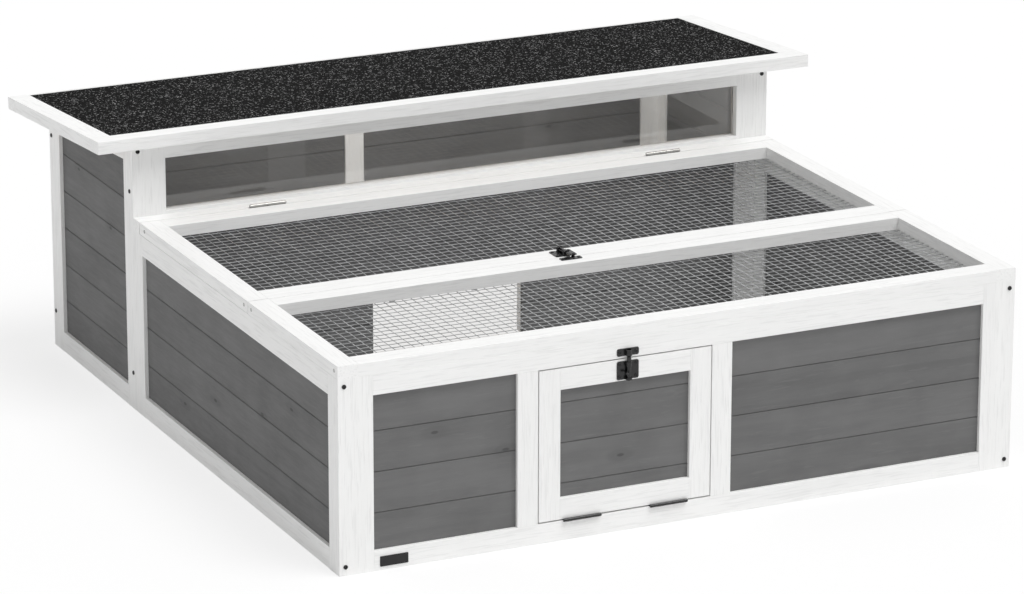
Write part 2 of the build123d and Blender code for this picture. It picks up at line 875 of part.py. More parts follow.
with BuildPart(roof_plane) as roof_side_rails:
    bar((-roof_half, roof_front_rail, 0), (-felt_half, back_rail_start, roof_thickness))
    bar((felt_half, roof_front_rail, 0), (roof_half, back_rail_start, roof_thickness))
save(roof_side_rails, "roof_side_rails")

with BuildPart(roof_plane) as roof_back_rail_piece:
    bar((-roof_half, back_rail_start, 0), (roof_half, roof_length, roof_thickness))
    block((-felt_half, back_rail_start, deck_top), (felt_half, felt_end, roof_thickness), mode=Mode.SUBTRACT)
save(roof_back_rail_piece, "roof_back_rail")

with BuildPart(roof_plane) as roof_battens:
    for middle in (-roof_batten_spacing / 2, roof_batten_spacing / 2):
        bar(
            (middle - roof_batten / 2, roof_front_rail, 0),
            (middle + roof_batten / 2, back_rail_start, deck_bottom),
        )
save(roof_battens, "roof_battens")

with BuildPart(roof_plane) as roof_deck:
    block((-felt_half, roof_front_rail, deck_bottom), (felt_half, back_rail_start, deck_top))
save(roof_deck, "roof_deck")

with BuildPart(roof_plane) as roof_felt:
    block((-felt_half, roof_front_rail, deck_top), (felt_half, felt_end, felt_top))
save(roof_felt, "roof_felt")

# Hinges

seam_offset = hinge_leaf_clearance / 2
face_offset = hinge_stand - hinge_leaf
make_hinges(
    "door",
    door_hinge_spacing,
    (door_centre, front - hinge_stand, front_foot_rail + hinge_seam / 2),
    ((-1, 0, 0), (0, 0, -1)),
    ((1, 0, 0), (0, 0, 1)),
    seam_offset,
    hinge_leaf_width,
)
make_hinges(
    "lid",
    lid_hinge_spacing,
    (lid_hinge_offset, front + lid_hinge_line, frame_top + hinge_stand),
    ((1, 0, 0), (0, 1, 0)),
    ((-1, 0, 0), (0, -1, 0)),
    seam_offset,
    hinge_leaf_width,
)
roof_pin_y = back_face + hinge_stand
roof_pin = (0, roof_pin_y, roof_line(roof_pin_y) + roof_clear - hinge_stand / cos(slope))
make_hinges(
    "roof",
    roof_hinge_spacing,
    roof_pin,
    ((-1, 0, 0), (0, -1, 0)),
    ((1, 0, 0), roof_normal),
    face_offset,
    roof_back_overhang - hinge_stand - roof_leaf_margin,
)

# Latches and screws

make_latch("door", door_latch_plane, -1)
make_latch("lid", lid_latch_plane, 1)

with BuildPart() as panel_screws:
    drive(panel_seats, screw_head_radius, screw_head, screw_dome, screw_recess, screw_radius, screw_length)
save(panel_screws, "panel_screws")

for name, seats in (
    ("door_latch_screws", door_body_seats),
    ("lid_latch_screws", lid_body_seats),
    ("keeper_screws", keeper_seats),
):
    with BuildPart() as latch_screws:
        drive(
            seats,
            latch_screw_head_radius,
            latch_screw_head,
            latch_screw_dome,
            latch_screw_recess,
            latch_screw_radius,
            latch_screw_length,
        )
    save(latch_screws, name)

print("door hinge pin", door_centre, front - hinge_stand, front_foot_rail + hinge_seam / 2)
print("lid hinge pin", lid_hinge_offset, front + lid_hinge_line, frame_top + hinge_stand)
print("roof hinge pin", *roof_pin)
print("front", front, "hutch face", hutch_face, "back face", back_face, "left", left)
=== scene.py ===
"""A wooden tortoise house: painted frames, grey boards, welded nets, a felted roof and black latches."""
import logging
import math
from dataclasses import dataclass, field
from enum import Enum
from typing import Any, Callable

import bmesh
import bpy
from mathutils import Matrix, Vector


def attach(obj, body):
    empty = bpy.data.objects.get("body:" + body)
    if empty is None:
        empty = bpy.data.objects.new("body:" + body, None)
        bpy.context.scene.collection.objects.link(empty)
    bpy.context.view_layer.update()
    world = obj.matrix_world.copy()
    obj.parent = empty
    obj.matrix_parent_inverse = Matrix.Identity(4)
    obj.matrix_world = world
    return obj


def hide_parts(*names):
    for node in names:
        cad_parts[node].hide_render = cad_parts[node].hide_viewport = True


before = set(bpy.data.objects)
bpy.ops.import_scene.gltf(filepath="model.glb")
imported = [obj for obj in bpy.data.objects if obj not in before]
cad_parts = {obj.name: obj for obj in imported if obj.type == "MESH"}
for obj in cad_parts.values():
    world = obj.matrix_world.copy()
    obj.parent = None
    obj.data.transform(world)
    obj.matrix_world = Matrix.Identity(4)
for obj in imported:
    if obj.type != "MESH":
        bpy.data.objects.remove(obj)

log = logging.getLogger("tortoise_house")

Colour = tuple[float, float, float]
Point = tuple[float, float, float]
Pair = tuple[float, float]
MM = 0.001
HALF_WIDTH = 471.5 * MM
FRONT = -498.752 * MM
WALL_TOP = 253.0 * MM
MOSTLY = 0.9  # the least share of a direction that counts as lying along it


class Grain(Enum):
    """The way a length of timber or board runs."""

    ACROSS = (1.0, 0.0, 0.0)
    DEPTHWISE = (0.0, 1.0, 0.0)
    UPRIGHT = (0.0, 0.0, 1.0)

    def stretch(self, along: float, across: float) -> Point:
        """Pattern repeats per metre along and across the grain.

        Args:
            along: Repeats per metre along the grain.
            across: Repeats per metre across it.

        Returns:
            One number for each axis.
        """
        x, y, z = (along if part else across for part in self.value)
        return (x, y, z)


class Tree:
    """Lays and joins the nodes of one material or node group."""

    def __init__(self, tree: bpy.types.NodeTree) -> None:
        """Take a tree and empty it."""
        self.tree = tree
        tree.nodes.clear()

    def add(self, kind: str, inputs: dict[Any, Any] | None = None, **settings: Any) -> bpy.types.Node:
        """Add a node.

        Args:
            kind: The node's type name.
            inputs: Values or sockets for its inputs, by name or number.
            **settings: The node's own settings.

        Returns:
            The new node.
        """
        node = self.tree.nodes.new(kind)
        for name, value in settings.items():
            setattr(node, name, value)
        for name, value in (inputs or {}).items():
            self.feed(node.inputs[name], value)
        return node

    def feed(self, socket: bpy.types.NodeSocket, value: Any) -> None:
        """Link a socket to an input, or set the input's value."""
        if isinstance(value, bpy.types.NodeSocket):
            self.tree.links.new(value, socket)
        else:
            socket.default_value = value

    def math(self, operation: str, first: Any, second: Any = 0.0) -> bpy.types.NodeSocket:
        """Result of a sum on two values."""
        return self.add("ShaderNodeMath", {0: first, 1: second}, operation=operation).outputs[0]

    def scale(self, value: Any, factor: Any) -> bpy.types.NodeSocket:
        """A value times a factor."""
        return self.math("MULTIPLY", value, factor)

    def spread(
        self, value: Any, low: float, high: float, to_low: float = 0.0, to_high: float = 1.0
    ) -> bpy.types.NodeSocket:
        """Ease a value from one range to another.

        Args:
            value: The socket to read.
            low: Start of its range.
            high: End of its range.
            to_low: What the start becomes.
            to_high: What the end becomes.

        Returns:
            The eased value.
        """
        inputs = {"Value": value, "From Min": low, "From Max": high, "To Min": to_low, "To Max": to_high}
        return self.add("ShaderNodeMapRange", inputs, interpolation_type="SMOOTHSTEP").outputs[0]

    def blend(self, factor: Any, first: Any, second: Any) -> bpy.types.NodeSocket:
        """Mix two colours by a factor."""
        inputs = {0: factor, 6: rgba(first), 7: rgba(second)}
        return self.add("ShaderNodeMix", inputs, data_type="RGBA").outputs[2]

    def effect(self, group: bpy.types.NodeTree, **inputs: Any) -> bpy.types.Node:
        """Place an effect with its own values."""
        node = self.add("ShaderNodeGroup", node_tree=group)
        for name, value in inputs.items():
            self.feed(node.inputs[name], value)
        return node

    def surface(
        self, colour: Any, roughness: Any, height: Any, strength: float, distance: float, **constants: Any
    ) -> None:
        """Add the shader, its bump and the output.

        Args:
            colour: Base colour.
            roughness: Roughness.
            height: Height of the relief.
            strength: How strongly the relief shows.
            distance: Depth of the relief in metres.
            **constants: Other shader inputs, with underscores for spaces.
        """
        bump = self.add("ShaderNodeBump", {"Strength": strength, "Distance": distance, "Height": height})
        inputs = {"Base Color": rgba(colour), "Roughness": roughness, "Normal": bump.outputs[0]}
        inputs |= {name.replace("_", " "): value for name, value in constants.items()}
        shader = self.add("ShaderNodeBsdfPrincipled", inputs)
        self.add("ShaderNodeOutputMaterial", {"Surface": shader.outputs[0]})


def rgba(colour: Any) -> Any:
    """A colour with its fourth part, or a socket as it is."""
    return colour if isinstance(colour, bpy.types.NodeSocket) else (*colour, 1.0)


def tint(colour: Colour, factor: float) -> Colour:
    """A colour made lighter or darker."""
    red, green, blue = (part * factor for part in colour)
    return (red, green, blue)


class Effects:
    """The shader effects that several finishes use."""

    NOISE_MIDDLE: Pair = (0.3, 0.7)
    FIBRE_FINENESS = 4.5
    STREAK_RELIEF = 0.4
    KNOT_CELLS: Pair = (8.0, 19.0)
    KNOT_REACH = {"Knot": 0.05, "Halo": 0.2}
    SPECK_REACH = 0.6

    def __init__(self) -> None:
        """Build each effect once."""
        self.grain = self._grain()
        self.knots = self._knots()
        self.speckle = self._speckle()
        self.mottle = self._mottle()

    @staticmethod
    def _start(
        name: str, inputs: dict[str, str], outputs: list[str]
    ) -> tuple[Tree, dict[str, Any], bpy.types.Node]:
        """Start a node group.

        Args:
            name: The group's name.
            inputs: Names and kinds of its inputs.
            outputs: Names of its outputs.

        Returns:
            Its tree, its inputs' sockets by name, and its output node.
        """
        group = bpy.data.node_groups.new(name, "ShaderNodeTree")
        for label, kind in inputs.items():
            group.interface.new_socket(name=label, in_out="INPUT", socket_type=f"NodeSocket{kind}")
        for label in outputs:
            group.interface.new_socket(name=label, in_out="OUTPUT", socket_type="NodeSocketFloat")
        tree = Tree(group)
        entry = tree.add("NodeGroupInput")
        sockets = {label: entry.outputs[label] for label in inputs}
        sockets["place"] = tree.add("ShaderNodeTexCoord").outputs["Object"]
        return tree, sockets, tree.add("NodeGroupOutput")

    def _grain(self) -> bpy.types.NodeTree:
        """Long streaks and fine fibres along a length of timber."""
        tree, given, end = self._start("timber_grain", {"Stretch": "Vector"}, ["Streak", "Fibre", "Relief"])
        stretched = {0: given["place"], 1: given["Stretch"]}
        coarse = tree.add("ShaderNodeVectorMath", stretched, operation="MULTIPLY").outputs[0]
        refined = {0: coarse, 1: (self.FIBRE_FINENESS,) * 3}
        fine = tree.add("ShaderNodeVectorMath", refined, operation="MULTIPLY").outputs[0]
        values = {"Scale": 1.0, "Detail": 4.0, "Roughness": 0.55, "Distortion": 0.4}
        streak = tree.add("ShaderNodeTexNoise", {"Vector": coarse, **values}).outputs[0]
        fibre = tree.add("ShaderNodeTexNoise", {"Vector": fine, **values}).outputs[0]
        tree.feed(end.inputs["Streak"], tree.spread(streak, *self.NOISE_MIDDLE))
        tree.feed(end.inputs["Fibre"], tree.spread(fibre, *self.NOISE_MIDDLE))
        tree.feed(end.inputs["Relief"], tree.math("ADD", tree.scale(streak, self.STREAK_RELIEF), fibre))
        return tree.tree

    def _knots(self) -> bpy.types.NodeTree:
        """Scattered small knots, drawn out along the grain."""
        tree, given, end = self._start("knots", {"Along": "Vector", "Share": "Float"}, ["Knot", "Halo"])
        ends = {0: given["place"], 1: given["Along"]}
        along = tree.add("ShaderNodeVectorMath", ends, operation="DOT_PRODUCT").outputs["Value"]
        height = tree.add("ShaderNodeSeparateXYZ", {0: given["place"]}).outputs[2]
        cells_along, cells_up = self.KNOT_CELLS
        parts = {0: tree.scale(along, cells_along), 1: tree.scale(height, cells_up)}
        flat = tree.add("ShaderNodeCombineXYZ", parts)
        where = {"Vector": flat.outputs[0], "Scale": 1.0}
        cells = tree.add("ShaderNodeTexVoronoi", where, voronoi_dimensions="2D")
        chance = tree.add("ShaderNodeSeparateColor", {0: cells.outputs["Color"]}).outputs[0]
        kept = tree.math("LESS_THAN", chance, given["Share"])
        for label, reach in self.KNOT_REACH.items():
            shape = tree.spread(cells.outputs["Distance"], reach / 2, reach, 1.0, 0.0)
            tree.feed(end.inputs[label], tree.scale(shape, kept))
        return tree.tree

    def _speckle(self) -> bpy.types.NodeTree:
        """Separate grains, each with its own brightness."""
        tree, given, end = self._start("speckle", {"Scale": "Float", "Share": "Float"}, ["Mask", "Relief"])
        cells = tree.add("ShaderNodeTexVoronoi", {"Vector": given["place"], "Scale": given["Scale"]})
        parts = tree.add("ShaderNodeSeparateColor", {0: cells.outputs["Color"]})
        kept = tree.math("LESS_THAN", parts.outputs[0], given["Share"])
        tree.feed(end.inputs["Mask"], tree.scale(kept, parts.outputs[1]))
        relief = tree.spread(cells.outputs["Distance"], 0.0, self.SPECK_REACH, 1.0, 0.0)
        tree.feed(end.inputs["Relief"], relief)
        return tree.tree

    def _mottle(self) -> bpy.types.NodeTree:
        """Broad soft patches from handling, dust and uneven coats."""
        tree, given, end = self._start("mottle", {"Scale": "Float"}, ["Patch", "Relief"])
        values = {"Vector": given["place"], "Scale": given["Scale"], "Detail": 3.0}
        noise = tree.add("ShaderNodeTexNoise", values).outputs[0]
        tree.feed(end.inputs["Patch"], tree.spread(noise, *self.NOISE_MIDDLE))
        tree.feed(end.inputs["Relief"], noise)
        return tree.tree


@dataclass(frozen=True)
class Finish:
    """A named finish; each kind draws its own nodes.

    In every kind, repeats are per metre along and across the grain, patches are the scale of the soft patches,
    a tint is a factor on the colour, a pair named roughness holds its lowest and highest value, a pair named
    relief holds the bump's strength and its depth in metres, and mirror is the shader's specular level.
    """

    name: str

    def make(self, effects: Effects) -> bpy.types.Material:
        """Make the material, or give the one already made.

        Args:
            effects: The shared shader effects.

        Returns:
            The material.
        """
        if self.name in bpy.data.materials:
            return bpy.data.materials[self.name]
        material = bpy.data.materials.new(self.name)
        material.use_nodes = True
        self.draw(Tree(material.node_tree), effects)
        return material

    def draw(self, tree: Tree, effects: Effects) -> None:
        """Lay the finish's nodes."""
        raise NotImplementedError


@dataclass(frozen=True)
class WhiteTimber(Finish):
    """White satin paint over planed softwood."""

    grain: Grain = Grain.ACROSS
    paint: Colour = (0.905, 0.905, 0.898)
    repeats: Pair = (5.0, 95.0)
    patches: float = 7.0
    streak_share: float = 0.6
    patch_share: float = 0.4
    dust_tint: float = 0.955
    furrow_from: float = 0.55
    furrow_share: float = 0.8
    furrow_tint: float = 0.89
    roughness: Pair = (0.42, 0.58)
    relief: Pair = (0.4, 0.0006)
    mirror: float = 0.35

    def draw(self, tree: Tree, effects: Effects) -> None:
        """Faint grain under the paint, with soft patches of dust."""
        grain = tree.effect(effects.grain, Stretch=self.grain.stretch(*self.repeats))
        mottle = tree.effect(effects.mottle, Scale=self.patches)
        shade = tree.math("ADD", tree.scale(grain.outputs["Streak"], self.streak_share),
                          tree.scale(mottle.outputs["Patch"], self.patch_share))
        colour = tree.blend(shade, tint(self.paint, self.dust_tint), self.paint)
        furrow = tree.spread(grain.outputs["Fibre"], self.furrow_from, 1.0, 0.0, self.furrow_share)
        colour = tree.blend(furrow, colour, tint(self.paint, self.furrow_tint))
        roughness = tree.spread(grain.outputs["Fibre"], 0.0, 1.0, *self.roughness)
        tree.surface(colour, roughness, grain.outputs["Relief"], *self.relief, Specular_IOR_Level=self.mirror)


@dataclass(frozen=True)
class GreyBoards(Finish):
    """Grey stained boards whose grain and knots show."""

    grain: Grain = Grain.ACROSS
    stain: Colour = (0.151, 0.151, 0.151)
    seam: float = 0.0731
    pitch: float = 0.0528
    repeats: Pair = (6.0, 60.0)
    patches: float = 13.0
    knot_share: float = 0.3
    streak_share: float = 0.35
    patch_share: float = 0.35
    own_share: float = 0.3
    dark_tint: float = 0.83
    pale_tint: float = 1.17
    light_from: float = 0.82
    light_share: float = 0.25
    light_tint: float = 1.35
    halo: Pair = (0.35, 0.7)
    knot: Pair = (0.75, 0.45)
    roughness: Pair = (0.66, 0.82)
    relief: Pair = (0.35, 0.0005)
    mirror: float = 0.25

    def draw(self, tree: Tree, effects: Effects) -> None:
        """Clouding along each board, light streaks, dark knots, and a shade of its own for each board.

        The seam is the height of one board's lower edge and the pitch is a board's height, both in metres. The
        halo and the knot are each a share and a tint.
        """
        grain = tree.effect(effects.grain, Stretch=self.grain.stretch(*self.repeats))
        knots = tree.effect(effects.knots, Along=self.grain.value, Share=self.knot_share)
        place = tree.add("ShaderNodeTexCoord").outputs["Object"]
        height = tree.add("ShaderNodeSeparateXYZ", {0: place}).outputs[2]
        row = tree.math("FLOOR", tree.math("DIVIDE", tree.math("SUBTRACT", height, self.seam), self.pitch))
        own = tree.add("ShaderNodeTexWhiteNoise", {"W": row}, noise_dimensions="1D").outputs["Value"]
        cloud = tree.effect(effects.mottle, Scale=self.patches)
        shade = tree.math("ADD", tree.scale(grain.outputs["Streak"], self.streak_share),
                          tree.scale(cloud.outputs["Patch"], self.patch_share))
        shade = tree.math("ADD", shade, tree.scale(own, self.own_share))
        colour = tree.blend(shade, tint(self.stain, self.dark_tint), tint(self.stain, self.pale_tint))
        light = tree.spread(grain.outputs["Fibre"], self.light_from, 1.0, 0.0, self.light_share)
        colour = tree.blend(light, colour, tint(self.stain, self.light_tint))
        for label, (share, shading) in (("Halo", self.halo), ("Knot", self.knot)):
            colour = tree.blend(tree.scale(knots.outputs[label], share), colour, tint(self.stain, shading))
        roughness = tree.spread(grain.outputs["Fibre"], 0.0, 1.0, *self.roughness)
        tree.surface(colour, roughness, grain.outputs["Relief"], *self.relief, Specular_IOR_Level=self.mirror)


@dataclass(frozen=True)
class Plywood(Finish):
    """Bare plywood."""

    repeats: Pair = (4.0, 40.0)
    knot_share: float = 0.15
    dark: Colour = (0.5, 0.35, 0.2)
    pale: Colour = (0.66, 0.5, 0.33)
    knot: Colour = (0.3, 0.17, 0.08)
    rough: float = 0.7
    relief: Pair = (0.3, 0.0005)

    def draw(self, tree: Tree, effects: Effects) -> None:
        """Open figure along the sheet with a few knots."""
        grain = tree.effect(effects.grain, Stretch=Grain.ACROSS.stretch(*self.repeats))
        knots = tree.effect(effects.knots, Along=Grain.ACROSS.value, Share=self.knot_share)
        colour = tree.blend(grain.outputs["Streak"], self.dark, self.pale)
        colour = tree.blend(knots.outputs["Halo"], colour, self.knot)
        tree.surface(colour, self.rough, grain.outputs["Relief"], *self.relief)


@dataclass(frozen=True)
class MineralFelt(Finish):
    """Dark roofing felt with pale mineral grains."""

    base_scale: float = 700.0
    darkest: Colour = (0.001, 0.001, 0.001)
    dark: Colour = (0.009, 0.009, 0.009)
    pale_scale: float = 620.0
    pale_share: float = 0.09
    pale: Colour = (0.42, 0.42, 0.42)
    patches: float = 9.0
    patch_share: float = 0.12
    patch: Colour = (0.012, 0.012, 0.012)
    rough: float = 0.95
    relief: Pair = (0.8, 0.0007)
    mirror: float = 0.05

    def draw(self, tree: Tree, effects: Effects) -> None:
        """Fine dark grains, sparse pale ones, and soft patches."""
        pale = tree.effect(effects.speckle, Scale=self.pale_scale, Share=self.pale_share)
        base = tree.effect(effects.speckle, Scale=self.base_scale, Share=1.0)
        mottle = tree.effect(effects.mottle, Scale=self.patches)
        colour = tree.blend(base.outputs["Mask"], self.darkest, self.dark)
        colour = tree.blend(tree.scale(mottle.outputs["Patch"], self.patch_share), colour, self.patch)
        colour = tree.blend(pale.outputs["Mask"], colour, self.pale)
        tree.surface(colour, self.rough, base.outputs["Relief"], *self.relief, Specular_IOR_Level=self.mirror)


@dataclass(frozen=True)
class CoatedMetal(Finish):
    """Metal with a coat, plating or oxide that is slightly uneven."""

    colour: Colour
    metallic: float
    smooth: float
    rough: float
    peel: float = 1400.0
    strength: float = 0.12
    depth: float = 0.0002
    patches: float = 60.0
    dark_tint: float = 0.82
    pale_tint: float = 1.08

    def draw(self, tree: Tree, effects: Effects) -> None:
        """Peel in the coat, patches in its gloss and a little change in its tone."""
        peel = tree.effect(effects.speckle, Scale=self.peel, Share=1.0).outputs["Relief"]
        patch = tree.effect(effects.mottle, Scale=self.patches).outputs["Patch"]
        colour = tree.blend(patch, tint(self.colour, self.dark_tint), tint(self.colour, self.pale_tint))
        roughness = tree.spread(patch, 0.0, 1.0, self.smooth, self.rough)
        tree.surface(colour, roughness, peel, self.strength, self.depth, Metallic=self.metallic)


@dataclass(frozen=True)
class ClearSheet(Finish):
    """Clear acrylic with faint wiping marks."""

    colour: Colour = (0.96, 0.975, 0.98)
    patches: float = 14.0
    roughness: Pair = (0.01, 0.05)
    relief: Pair = (0.02, 0.0003)
    refraction: float = 1.49

    def draw(self, tree: Tree, effects: Effects) -> None:
        """Almost smooth, with gloss that changes a little."""
        mottle = tree.effect(effects.mottle, Scale=self.patches)
        roughness = tree.spread(mottle.outputs["Patch"], 0.0, 1.0, *self.roughness)
        tree.surface(
            self.colour, roughness, mottle.outputs["Relief"], *self.relief,
            Transmission_Weight=1.0, IOR=self.refraction,
        )


WHITE_ACROSS = WhiteTimber("white_timber_across", Grain.ACROSS)
WHITE_DEPTHWISE = WhiteTimber("white_timber_depthwise", Grain.DEPTHWISE)
WHITE_UPRIGHT = WhiteTimber("white_timber_upright", Grain.UPRIGHT)
GREY_ACROSS = GreyBoards("grey_boards_across", Grain.ACROSS)
GREY_DEPTHWISE = GreyBoards("grey_boards_depthwise", Grain.DEPTHWISE)
BARE_PLYWOOD = Plywood("bare_plywood")
ROOF_FELT = MineralFelt("mineral_felt")
CLEAR = ClearSheet("clear_acrylic")
BLACK_COAT = CoatedMetal("black_coat", (0.007, 0.007, 0.0075), 0.0, 0.12, 0.24)
BLACK_SCREW = CoatedMetal("black_oxide", (0.012, 0.012, 0.013), 0.2, 0.22, 0.34)
BLACK_PLATE = CoatedMetal("black_plate", (0.006, 0.006, 0.0065), 0.0, 0.5, 0.65, 2200.0, 0.08)
ZINC = CoatedMetal("bright_zinc", (0.4, 0.395, 0.38), 1.0, 0.24, 0.4, 500.0, 0.1)
PALE_SCREW = CoatedMetal("pale_screw", (0.4, 0.4, 0.39), 0.5, 0.35, 0.5)
GALVANISED = CoatedMetal("galvanised_wire", (0.5, 0.505, 0.51), 0.85, 0.28, 0.42, 900.0, 0.1)


def deselect() -> None:
    """Leave edit mode and deselect everything."""
    if bpy.context.mode != "OBJECT":
        bpy.ops.object.mode_set(mode="OBJECT")
    bpy.ops.object.select_all(action="DESELECT")


def pick(*pieces: bpy.types.Object) -> None:
    """Select some pieces, the first of them active."""
    deselect()
    for piece in pieces:
        piece.select_set(True)
    bpy.context.view_layer.objects.active = pieces[0]


def edit(piece: bpy.types.Object, kind: str, test: Callable[[Any], bool]) -> None:
    """Enter edit mode with only the parts of a mesh that pass a test selected.

    Args:
        piece: The piece to edit.
        kind: VERT, EDGE or FACE.
        test: True for each vertex, edge or face to select.
    """
    pick(piece)
    bpy.ops.object.mode_set(mode="EDIT")
    bpy.ops.mesh.select_mode(type=kind)
    bpy.ops.mesh.select_all(action="DESELECT")
    mesh = bmesh.from_edit_mesh(piece.data)
    for item in {"VERT": mesh.verts, "EDGE": mesh.edges, "FACE": mesh.faces}[kind]:
        if test(item):
            item.select_set(True)
    bmesh.update_edit_mesh(piece.data)


def settle(piece: bpy.types.Object) -> None:
    """Put a piece's place into its mesh."""
    pick(piece)
    bpy.ops.object.transform_apply(location=True, rotation=True, scale=True)


def apply_modifier(piece: bpy.types.Object, kind: str, **settings: Any) -> None:
    """Add a modifier and apply it.

    Args:
        piece: The piece to change.
        kind: The modifier's type name.
        **settings: The modifier's settings.
    """
    pick(piece)
    modifier = piece.modifiers.new(kind.title(), kind)
    for name, value in settings.items():
        setattr(modifier, name, value)
    bpy.ops.object.modifier_apply(modifier=modifier.name)


def join(name: str, pieces: list[bpy.types.Object]) -> bpy.types.Object:
    """Join pieces into one.

    Args:
        name: The joined piece's name.
        pieces: What to join.

    Returns:
        The joined piece.
    """
    pick(*pieces)
    if len(pieces) > 1:
        bpy.ops.object.join()
    pieces[0].name = name
    return pieces[0]


def copy_to(name: str, model: bpy.types.Object, places: list[Matrix]) -> bpy.types.Object:
    """Put a copy of a model, with its own mesh, at each place, and join them.

    Args:
        name: The joined piece's name.
        model: A finished piece at the origin, removed afterwards.
        places: Where the copies go.

    Returns:
        The joined copies.
    """
    copies = []
    for place in places:
        copy = model.copy()
        copy.data = model.data.copy()
        bpy.context.collection.objects.link(copy)
        copy.matrix_world = place
        settle(copy)
        copies.append(copy)
    bpy.data.objects.remove(model)
    return join(name, copies)


def facing(point: Point, outward: Point, turn: float = 0.0) -> Matrix:
    """A place whose Z axis points outward.

    Args:
        point: The place's origin in metres.
        outward: Its Z axis.
        turn: Turn about that axis in radians.

    Returns:
        The place's matrix.
    """
    rotation = Vector(outward).to_track_quat("Z", "Y").to_matrix().to_4x4()
    return Matrix.Translation(point) @ rotation @ Matrix.Rotation(turn, 4, "Z")


@dataclass
class RecessedScrew:
    """A small screw head with a cross recess, its seat at the origin and its top along +Z."""

    radius: float = 2.4 * MM
    head: float = 0.2 * MM
    dish: float = 0.12 * MM
    slot: float = 2.8 * MM
    slot_width: float = 0.7 * MM
    slot_depth: float = 0.25 * MM
    sides: int = 20
    sunk: float = 0.4 * MM
    rim_share: float = 0.14
    dish_share: float = 0.12
    smooth_below: float = 35.0

    def build(self) -> bpy.types.Object:
        """Model the head: a disc, a raised rim, a dished face, then the recess cut from it."""
        deselect()
        depth = self.head + self.sunk
        bpy.ops.mesh.primitive_cylinder_add(
            vertices=self.sides, radius=self.radius, depth=depth, location=(0, 0, self.head - depth / 2)
        )
        screw = bpy.context.object
        settle(screw)
        edit(screw, "FACE", lambda face: face.normal.z > MOSTLY)
        bpy.ops.mesh.inset(thickness=self.radius * self.rim_share, depth=self.dish / 2)
        bpy.ops.mesh.inset(thickness=self.radius * self.dish_share, depth=-self.dish)
        for turn in (0.0, math.pi / 2):
            deselect()
            bpy.ops.mesh.primitive_cube_add(size=1, location=(0, 0, self.head), rotation=(0, 0, turn))
            cutter = bpy.context.object
            cutter.scale = (self.slot, self.slot_width, 2 * self.slot_depth)
            settle(cutter)
            apply_modifier(screw, "BOOLEAN", operation="DIFFERENCE", object=cutter, solver="EXACT")
            bpy.data.objects.remove(cutter)
        pick(screw)
        bpy.ops.object.shade_smooth_by_angle(angle=math.radians(self.smooth_below))
        return screw


@dataclass
class Staple:
    """A wire staple: its crown under a wire, its legs up into the rail."""

    width: float = 8.0 * MM
    wire: float = 0.9 * MM
    drop: float = 2.9 * MM
    buried: float = 0.3 * MM
    rounding: float = 0.22

    def build(self) -> bpy.types.Object:
        """Model the crown, cut it near its ends, raise the legs and round it."""
        inner = self.width / 2 - self.wire
        deselect()
        bpy.ops.mesh.primitive_cube_add(size=1, location=(0, 0, -self.drop + self.wire / 2))
        staple = bpy.context.object
        staple.scale = (self.width, self.wire, self.wire)
        settle(staple)
        for side in (-1, 1):
            edit(staple, "FACE", lambda face: True)
            bpy.ops.mesh.bisect(plane_co=(side * inner, 0, 0), plane_no=(1, 0, 0))
        edit(staple, "FACE", lambda face: face.normal.z > MOSTLY and abs(face.calc_center_median().x) > inner)
        rise = self.drop - self.wire + self.buried
        bpy.ops.mesh.extrude_region_move(TRANSFORM_OT_translate={"value": (0, 0, rise)})
        deselect()
        apply_modifier(staple, "BEVEL", width=self.wire * self.rounding, segments=1)
        return staple


@dataclass
class SubAssembly:
    """A part of the house: the finishes of its CAD nodes, and the pieces it adds."""

    effects: Effects
    finishes: dict[str, Finish] = field(default_factory=dict)

    def dress(self) -> None:
        """Give each CAD node its finish."""
        for name, finish in self.finishes.items():
            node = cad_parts[name]
            material = finish.make(self.effects)
            if not node.material_slots:
                node.data.materials.append(material)
            for slot in node.material_slots:
                slot.material = material

    def build(self) -> list[bpy.types.Object]:
        """Model the pieces this part adds, if any."""
        return []

    def finish_piece(
        self, piece: bpy.types.Object, finish: Finish, slot: str, body: str
    ) -> bpy.types.Object:
        """Give a new piece its finish and its body.

        Args:
            piece: The piece.
            finish: Its finish.
            slot: Not used.
            body: The body it moves with.

        Returns:
            The same piece.
        """
        piece.data.materials.clear()
        piece.data.materials.append(finish.make(self.effects))
        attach(piece, body)
        return piece


@dataclass
class Walls(SubAssembly):
    """The run's and the hutch's walls, their boards, plate and panel screws."""

    finishes: dict[str, Finish] = field(default_factory=lambda: {
        "front_end_stiles": WHITE_UPRIGHT, "front_door_posts": WHITE_UPRIGHT, "front_rails": WHITE_ACROSS,
        "front_boards": GREY_ACROSS, "bare_plate": BLACK_PLATE, "panel_screws": BLACK_SCREW,
        "run_left_stiles": WHITE_UPRIGHT, "run_right_stiles": WHITE_UPRIGHT,
        "run_left_rails": WHITE_DEPTHWISE, "run_right_rails": WHITE_DEPTHWISE,
        "run_left_boards": GREY_DEPTHWISE, "run_right_boards": GREY_DEPTHWISE,
        "hutch_left_stiles": WHITE_UPRIGHT, "hutch_right_stiles": WHITE_UPRIGHT,
        "hutch_left_rails": WHITE_DEPTHWISE, "hutch_right_rails": WHITE_DEPTHWISE,
        "hutch_left_boards": GREY_DEPTHWISE, "hutch_right_boards": GREY_DEPTHWISE,
        "hutch_front_stiles": WHITE_UPRIGHT, "hutch_front_rails": WHITE_ACROSS,
        "divider_boards": GREY_ACROSS, "doorway_battens": WHITE_UPRIGHT, "window_pane": CLEAR,
        "back_stiles": WHITE_UPRIGHT, "back_rails": WHITE_ACROSS, "back_boards": GREY_ACROSS,
    })


